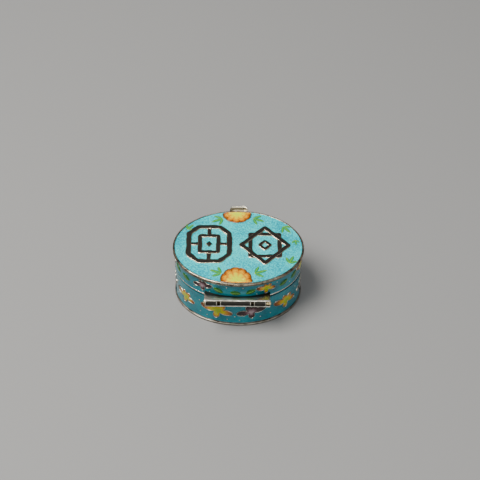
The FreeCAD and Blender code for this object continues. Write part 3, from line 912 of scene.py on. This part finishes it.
def bar(corners, width, high, closed=True):
    """A hand-sawn bar along a run of corners, as points, faces and tints: 1 on the black top and 0 on the
    sides, which take a painted highlight.
    """
    spots = []
    for start, finish in zip(corners, corners[1:] + corners[:closed]):
        start, finish = Vector(start), Vector(finish)
        pieces = max(2, round((finish - start).length / SAW_STEP))
        spots += [start.lerp(finish, piece / pieces) for piece in range(pieces)]
    if not closed:
        spots.append(Vector(corners[-1]))
    total = len(spots)
    for _ in range(2):
        trios = zip(spots[-1:] + spots[:-1], spots, spots[1:] + spots[:1])
        eased = [(before + spot * 2 + after) / 4 for before, spot, after in trios]
        spots = eased if closed else spots[:1] + eased[1:-1] + spots[-1:]
    half = width / 2
    soft = min(1, half / 0.3)
    # Each point of the section is its place across, its share of the height and its tint.
    side = [
        (-half - 0.05, 0.0, 0), (-half - 0.03, 0.62, 0), (-half - 0.01, 0.86, 0),
        (0.06 * soft - half, 0.97, 0), (0.14 * soft - half, 1, 0.8), (0.26 * soft - half, 1, 1),
    ]
    profile = side + [(0, 1.02, 1)] + [(-across, up, tint) for across, up, tint in reversed(side)]
    points, tints = [], []
    for index, spot in enumerate(spots):
        at_end = not closed and index in (0, total - 1)
        before = spots[index - 1] if closed or index else spot * 2 - spots[1]
        after = spots[(index + 1) % total] if closed or index < total - 1 else spot * 2 - spots[-2]
        into, away = (spot - before).normalized(), (after - spot).normalized()
        sides = Vector((-into.y, into.x)), Vector((-away.y, away.x))
        mitre = (sides[0] + sides[1]) / (1 + sides[0].dot(sides[1]))
        waver = 0.2 * noise.noise((spot.x * 0.7, spot.y * 0.7, 1.7))
        waver += 0.1 * noise.noise((spot.x * 2, spot.y * 2, 4))
        spread = (1 + waver) * (0.8 if at_end else 1)
        shift = 0.1 * noise.noise((spot.x * 0.6, spot.y * 0.6, 9.1))
        top = high - enamel_low + 0.03 * noise.noise((spot.x, spot.y, 5.0))
        for across, up, tint in profile:
            place = spot + mitre * (across * spread + shift)
            points.append((place.x, place.y, enamel_low + top * up))
            # The near side, towards the front, gets a stronger painted highlight.
            wear_and_painted_light = max(0, -(mitre * across).y) / half
            tints.append(tint - 0.5 * wear_and_painted_light * (abs(across) > half - 0.2))
    return points, swept_faces(total, len(profile), closed), tints


stroke_runs = []  # every bar's run of corners and half width, which the enamel climbs


def fret_frame(x, y, half, stroke, outline, high, chamfer=None):
    """A frame of the fretwork, by its outer half sizes. A lozenge's stroke is taken along its diagonals."""
    cut = [] if chamfer is None else [chamfer - 0.3 * stroke]
    corners = outline(x, y, half[0] - stroke / 2, half[1] - stroke / 2, *cut)
    width = stroke * math.sqrt(0.5) if outline == lozenge else stroke
    stroke_runs.append((corners + corners[:1], width / 2))
    return bar(corners, width, high)


def fret_tie(start, finish, stroke, high):
    stroke_runs.append(([start, finish], stroke / 2))
    return bar([start, finish], stroke, high, closed=False)


def top_place(x, y):
    """A function from (across, up, out) round a spot on the lid's top to a point in space."""
    return lambda across, up, out: (x + across, y + up, enamel_top + out)


lattice_x, lattice_y = -8.5, 0.9
octagon_half, octagon_stroke, octagon_chamfer = (6.7, 7.7), 1.6, 3.3
window_half, window_stroke, window_drop = (3.3, 3.9), 1.3, 0.02
tie_stroke, tie_drop = 1.25, 0.05
stud_half = (1.1, 1.3)
lattice = [
    fret_frame(lattice_x, lattice_y, octagon_half, octagon_stroke, octagon, relief_top, octagon_chamfer),
    fret_frame(lattice_x, lattice_y, window_half, window_stroke, rectangle, relief_top - window_drop),
]
for side in (1, -1):
    for axis in (0, 1):
        start, finish = [lattice_x, lattice_y], [lattice_x, lattice_y]
        start[axis] += side * (window_half[axis] - window_stroke / 2)
        finish[axis] += side * (octagon_half[axis] - octagon_stroke / 2)
        lattice.append(fret_tie(start, finish, tie_stroke, relief_top - tie_drop))
# The stud's tint leaves a painted highlight round its edge.
lattice.append(cell(
    lambda angle: 1 / (abs(math.cos(angle)) / stud_half[0] + abs(math.sin(angle)) / stud_half[1]),
    lambda angle, share: (relief_top - enamel_top) * (1 - share**9),
    lambda angle, share: 1 - share**6,
    top_place(lattice_x, lattice_y),
))

star_x, star_y = 7.7, 0.6
star_half, star_stroke = (7.8, 8.1), 2.0
square_half, square_stroke, square_drop = (4.9, 5.1), 1.35, 0.035
eye_half, eye_stroke = (2.3, 2.4), 1.45
star = [
    fret_frame(star_x, star_y, star_half, star_stroke, lozenge, relief_top),
    fret_frame(star_x, star_y, square_half, square_stroke, rectangle, relief_top - square_drop),
    fret_frame(star_x, star_y, eye_half, eye_stroke, lozenge, relief_top),
]


def black_silver():
    """Fretwork silver: black and slightly rough on top, with a painted highlight on its sides and shoulders.
    """
    material, tree, surface, place, tint = new_material("black_fret_silver", {"Metallic": 1.0})
    wear_and_painted_light = mottle(tree, place, 2300, 6, 0.7)
    top = strayed(tree, tint, wear_and_painted_light, 1.1)
    # A low tint gives the painted highlight of the sides and shoulders, a high tint the black top.
    colour = colour_ramp(tree, top, [
        (0.20, (0.66, 0.55, 0.38)),
        (0.48, (0.34, 0.27, 0.18)),
        (0.64, (0.075, 0.062, 0.050)),
        (0.95, (0.045, 0.040, 0.034)),
    ])
    tree.links.new(colour, surface.inputs["Base Color"])
    tree.links.new(ranged(tree, top, 0.1, 0.6, 0.25, 0.52), surface.inputs["Roughness"])
    press(tree, surface, wear_and_painted_light, 0.6, 0.00006)
    return material


fret_silver = black_silver()
make_piece("window_lattice", gathered(lattice), "lid", fret_silver, "fret_panel_left")
make_piece("eight_point_star", gathered(star), "lid", fret_silver, "fret_panel_right")

# -------------------------------- the lid's turquoise field
# The plate under the glass is chased all over with fine hammer marks, so the turquoise sparkles in small
# flecks, the palest of them painted glints. It is painted paler towards the middle as a pool of light, and
# climbs the rim and the frets.


def turquoise_glass():
    """Clear blue-green glass over hammered silver."""
    material, tree, surface, place, tint = new_material(
        "turquoise_enamel",
        {**WET_GLASS, "Metallic": 0.5, "Roughness": 0.34, "Coat Weight": 0.45, "Coat Roughness": 0.05},
    )
    marks = add_node(tree, "TexVoronoi", {"Vector": place, "Scale": 2100, "Randomness": 1.0})
    hammered = scaled(tree, marks.outputs["Distance"], 0.8)
    grain = scaled(tree, mottle(tree, place, 2600, 3, 0.7), 1.0, hammered)
    clouded = scaled(tree, mottle(tree, place, 110, 2), 0.9, grain)
    # The tint is a painted pool of light, palest in the middle, and the palest flecks of the grain are
    # painted glints.
    tone_and_painted_light = ranged(tree, scaled(tree, tint, 0.25, clouded), 0.75, 1.75)
    colour = colour_ramp(tree, tone_and_painted_light, [
        (0.12, (0.0, 0.24, 0.38)),
        (0.40, (0.0, 0.50, 0.62)),
        (0.66, (0.0, 0.72, 0.80)),
        (0.92, (0.04, 0.95, 0.95)),
    ])
    tree.links.new(colour, surface.inputs["Base Color"])
    press(tree, surface, grain, 0.8, 0.00008)
    press(tree, surface, mottle(tree, place, 900, 2), 0.3, 0.0001, "Coat Normal")
    return material


def run_distance(spots, start, finish):
    """How far many spots lie from one straight run."""
    start, finish = np.array(start), np.array(finish)
    run = finish - start
    share = np.clip(((spots - start) @ run) / (run @ run), 0, 1)
    return np.linalg.norm(spots - start - share[:, None] * run, axis=1)


FIELD_SPOKES, FIELD_RINGS = 480, 84
rim_climb, rim_climb_reach = 0.06, 0.22
bar_climb, bar_climb_reach = 0.07, 0.2
broad_wave, fine_wave = 0.02, 0.008


def turquoise_field():
    """The field as rings of points from the rim to the middle, with its glass climbing what it meets."""
    across = half_width - top_inset
    turns = [FULL_TURN * spoke / FIELD_SPOKES for spoke in range(FIELD_SPOKES)]
    edge = [oval_point(turn, top_inset, enamel_low) for turn in turns]
    shares = [(ring / FIELD_RINGS) ** 1.15 for ring in range(FIELD_RINGS)]
    spots = [(x * (1 - share), y * (1 - share)) for share in shares for x, y, _ in edge]
    spots = np.array(spots + [(0.0, 0.0)])
    from_rim = np.append(np.repeat(np.array(shares) * across, FIELD_SPOKES), half_width)
    to_bar = np.full(len(spots), half_length)
    for corners, half in stroke_runs:
        for start, finish in zip(corners, corners[1:]):
            to_bar = np.minimum(to_bar, run_distance(spots, start, finish) - half)
    levels = enamel_top + rim_climb * np.exp(-((from_rim / rim_climb_reach) ** 2))
    levels += bar_climb * np.exp(-((np.maximum(to_bar, 0) / bar_climb_reach) ** 2))
    broad = [noise.noise((x * 0.5, y * 0.5, 2.2)) for x, y in spots]
    fine = [noise.noise((x * 1.9, y * 1.9, 4)) for x, y in spots]
    levels += broad_wave * np.array(broad) + fine_wave * np.array(fine)
    # A painted pool of light, strongest in the middle, carried to the glass as its tint.
    painted_light_pool = 1 - np.hypot(spots[:, 0] / half_length, spots[:, 1] / half_width)
    points = [(x, y, z) for (x, y), z in zip(spots, levels)]
    middle, under, inmost = len(points) - 1, len(points), (FIELD_RINGS - 1) * FIELD_SPOKES
    faces = []
    for spoke in range(FIELD_SPOKES):
        following = (spoke + 1) % FIELD_SPOKES
        for outer in range(0, inmost, FIELD_SPOKES):
            inner = outer + FIELD_SPOKES
            faces.append((outer + spoke, outer + following, inner + following, inner + spoke))
        faces.append((inmost + spoke, inmost + following, middle))
        faces.append((under + spoke, under + following, following, spoke))
    faces.append(tuple(range(under, under + FIELD_SPOKES)))
    return points + edge, faces, list(painted_light_pool) + [0.0] * FIELD_SPOKES


shape = turquoise_field()
make_piece(
    "turquoise_field", shape, "lid", turquoise_glass(), "lid_top_enamel", crease=70
)

# -------------------------------- the half blossoms on the lid's top
# Two large blossoms rise from the rim, one at the hinge and one at the tab. The silver under their glass
# is chased into a fan of petals in two rows round a beaded heart; the glass runs from yellow to orange,
# brown in the chased lines, and a flat wire is bent round each.

flower_x = -0.5
off_rim = 0.7
flower_wire, flower_wire_rise, flower_wire_gap = 0.2, 0.1, 0.08
# Each blossom is the side of the lid it is on, its half width and how far it reaches in from the rim.
FLOWERS = {"lid_flower_hinge_side": (-1, 4.5, 5.3), "lid_flower_tab_side": (1, 4.2, 3.8)}
heart_share, inner_row_share = 0.36, 0.66
HEART_BEADS, INNER_PETALS, OUTER_PETALS = 9, 4.5, 5.5
fan_edge_rise, fan_crown, petal_crown = 0.05, 0.15, 0.10


def to_rim(x, y, angle, inset):
    """How far the oval at an inset lies from a spot, in a direction."""
    a, b = half_length - inset, half_width - inset
    cosine, sine = math.cos(angle), math.sin(angle)
    square = (cosine / a) ** 2 + (sine / b) ** 2
    slope = x * cosine / a**2 + y * sine / b**2
    return (-slope + math.sqrt(slope**2 - square * ((x / a) ** 2 + (y / b) ** 2 - 1))) / square


def half_blossom(y, half_wide, tall):
    """A fan of chased petals and its outline. Its tint is 0 at the heart and 1 at the edge and in lines."""

    def fan(angle):
        """The direction in the fan with its squash taken out, from 0 to pi."""
        return math.atan2(abs(math.sin(angle)) / tall, math.cos(angle) / half_wide)

    def reach(angle):
        scallop = 1 - 0.05 * (1 - abs(math.cos(OUTER_PETALS * fan(angle) + 0.3))) ** 2
        oval = scallop / math.hypot(math.cos(angle) / half_wide, math.sin(angle) / tall)
        return min(oval, to_rim(flower_x, y, angle, top_inset + 0.03))

    def petal(angle, share):
        """The fullness, from 0 in a chased line to 1 on a petal's crest."""
        spread = fan(angle)
        if share > inner_row_share:
            full = abs(math.cos(OUTER_PETALS * spread + 0.3))
            depth = (share - inner_row_share) / (1 - inner_row_share)
        elif share > heart_share:
            full = abs(math.sin(INNER_PETALS * spread + 0.5))
            depth = (share - heart_share) / (inner_row_share - heart_share)
        else:
            return 0.7 + 0.3 * math.cos(HEART_BEADS * spread) * math.cos(22 * share)
        streaks = 0.82 + 0.18 * math.cos(44 * spread + 6 * share)
        return full**0.5 * (1 - (2 * depth - 1) ** 6) * streaks

    def rise(angle, share):
        return fan_edge_rise + fan_crown * (1 - share**2) + petal_crown * petal(angle, share)

    def tint(angle, share):
        shade = 0.55 * share**1.5 + 0.35 * max(0, share - 0.72) / 0.28
        return min(1, shade + 0.42 * (1 - petal(angle, share)) * min(1, share * 2))

    return cell(reach, rise, tint, top_place(flower_x, y), spokes=240, rings=40), reach


flower_glass = glass("flower_glass", [
    (0.06, (0.75, 0.90, 0.0)),
    (0.32, (0.92, 0.74, 0.0)),
    (0.52, (0.88, 0.36, 0.0)),
    (0.76, (0.62, 0.17, 0.0)),
    (1.00, (0.20, 0.05, 0.0)),
], 0.42)
flower_wires = []
for node, (side, half_wide, tall) in FLOWERS.items():
    y = side * (half_width - top_inset - off_rim)
    shape, reach = half_blossom(y, half_wide, tall)
    name = node.replace("lid_flower", "half_blossom")
    make_piece(name, shape, "lid", flower_glass, node)
    spots = []
    for degree in range(0, 181, 2):
        angle = math.radians(degree) * -side
        if reach(angle) < to_rim(flower_x, y, angle, top_inset + 0.1):
            length = reach(angle) + flower_wire_gap
            spots.append((flower_x + length * math.cos(angle), y + length * math.sin(angle)))
    flower_wires.append(bar(spots, flower_wire, enamel_top + flower_wire_rise, closed=False))
brown_wire = silver("tarnished_flower_wire", (0.42, 0.27, 0.13), (0.10, 0.05, 0.025), 0.25, 0.35)
points, faces, _ = gathered(flower_wires)
make_piece("half_blossom_wires", (points, faces), "lid", brown_wire, "lid_flower_edges")

# -------------------------------- the leaf sprays on the lid's top
# Round the edge of the field are small sprays of leaves, three to a stalk, laid straight into the
# turquoise with no wire. Their glass is green with yellow ribs and thins out into the blue at its edges.

# Each spray is its place, its heading in degrees, and the length and width of its leaves.
TOP_LEAVES = [
    (-6.4, -10.0, 155, 3.2, 1.3), (6.4, -9.9, 20, 3.4, 1.3), (-6.3, 10.7, 205, 3.2, 1.3),
    (5.9, 11.0, -20, 3.2, 1.3), (-14.2, 7.8, 45, 2.4, 1.1), (14.1, 7.1, -50, 3.0, 1.2),
    (16.6, 1.9, -80, 1.8, 0.9), (15.2, -5.0, 65, 2.8, 1.3),
]
LEAF_FAN = ((0, 1.15), (46, 0.9), (-46, 0.9))  # each leaf's lean in degrees and its relative size
spray_crown, spray_teeth = 0.09, 0.16
spray_glass = glass("spray_glass", [
    (0.05, (0.50, 0.72, 0.0)),
    (0.30, (0.14, 0.48, 0.0)),
    (0.62, (0.01, 0.28, 0.01)),
    (1.00, (0.0, 0.30, 0.16)),
], 0.4)


def heading(turn):
    return Vector((math.cos(math.radians(turn)), math.sin(math.radians(turn))))


sprays = []
for x, y, turn, length, width in TOP_LEAVES:
    stalk = Vector((x, y)) - heading(turn) * length * 0.55
    for lean, size in LEAF_FAN:
        middle = stalk + heading(turn + lean) * length * size / 2
        wide = width * (0.55 + 0.3 * size)
        sprays.append(leaf(top_place(*middle), length * size, wide, turn + lean, spray_crown, spray_teeth))
make_piece("leaf_sprays", gathered(sprays), "lid", spray_glass, "lid_top_leaves")

# -------------------------------- the floor, the light and the camera
# The box stands on a plain pale floor under soft light from above. The camera looks down on the hinge
# side from arm's length.

floor_size = 6.0
floor_drop = 0.00001
bpy.ops.mesh.primitive_plane_add(size=floor_size, location=(0, 0, -floor_drop))
floor = bpy.context.object
floor.name = "floor"
floor_paint, tree, surface, place, _ = new_material(
    "pale_floor", {"Base Color": (0.27, 0.267, 0.26, 1), "Roughness": 0.7}
)
press(tree, surface, mottle(tree, place, 900, 3), 0.1, 0.0001)
floor.data.materials.append(floor_paint)
floor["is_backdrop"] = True

sky = bpy.data.worlds.new("soft_room")
bpy.context.scene.world = sky
sky.use_nodes = True
room = sky.node_tree
towards = add_node(room, "TexCoord").outputs["Generated"]
height = add_node(room, "SeparateXYZ", {"Vector": towards}).outputs["Z"]
walls = colour_ramp(room, height, [
    (0.0, (0.11, 0.113, 0.118)),
    (0.30, (0.13, 0.135, 0.14)),
    (0.60, (0.55, 0.57, 0.60)),
    (1.0, (0.85, 0.88, 0.92)),
])
room.links.new(walls, room.nodes["Background"].inputs["Color"])
room.nodes["Background"].inputs["Strength"].default_value = 0.5


def soft_light(name, place, size, power, colour):
    """A square soft light aimed at the box."""
    lamp = bpy.data.lights.new(name, "AREA")
    lamp.size = size
    lamp.energy = power
    lamp.color = colour
    holder = bpy.data.objects.new(name, lamp)
    holder.location = place
    holder.rotation_euler = (Vector((0, 0, 0.01)) - Vector(place)).to_track_quat("-Z", "Y").to_euler()
    bpy.context.scene.collection.objects.link(holder)


soft_light("overhead_light", (-0.30, -0.10, 0.62), 0.36, 7.8, (1.0, 0.98, 0.95))
soft_light("front_fill", (0.28, -0.60, 0.30), 0.70, 2.2, (0.95, 0.98, 1.0))
soft_light("back_glint", (-0.05, 0.75, 0.30), 0.12, 0.35, (1.0, 0.95, 0.86))

view_angle = math.radians(24)
view_tilt = math.radians(45.5)
view_roll = math.radians(0.62)
view_distance = 0.3242
view_target = Vector((0.00044, 0, 0.02062))
camera = bpy.data.objects.new("camera", bpy.data.cameras.new("camera"))
camera.data.angle = view_angle
camera.data.clip_start = 0.01
camera.location = view_target + view_distance * Vector((0, -math.cos(view_tilt), math.sin(view_tilt)))
camera.rotation_mode = "XYZ"
look = (view_target - camera.location).to_track_quat("-Z", "Y").to_matrix().to_4x4()
camera.rotation_euler = (look @ Matrix.Rotation(view_roll, 4, "Z")).to_euler()
bpy.context.scene.collection.objects.link(camera)
bpy.context.scene.camera = camera

boxes = {"cad": cad_box, "visual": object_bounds()}
{name: [list(corner) for corner in box] for name, box in boxes.items()}
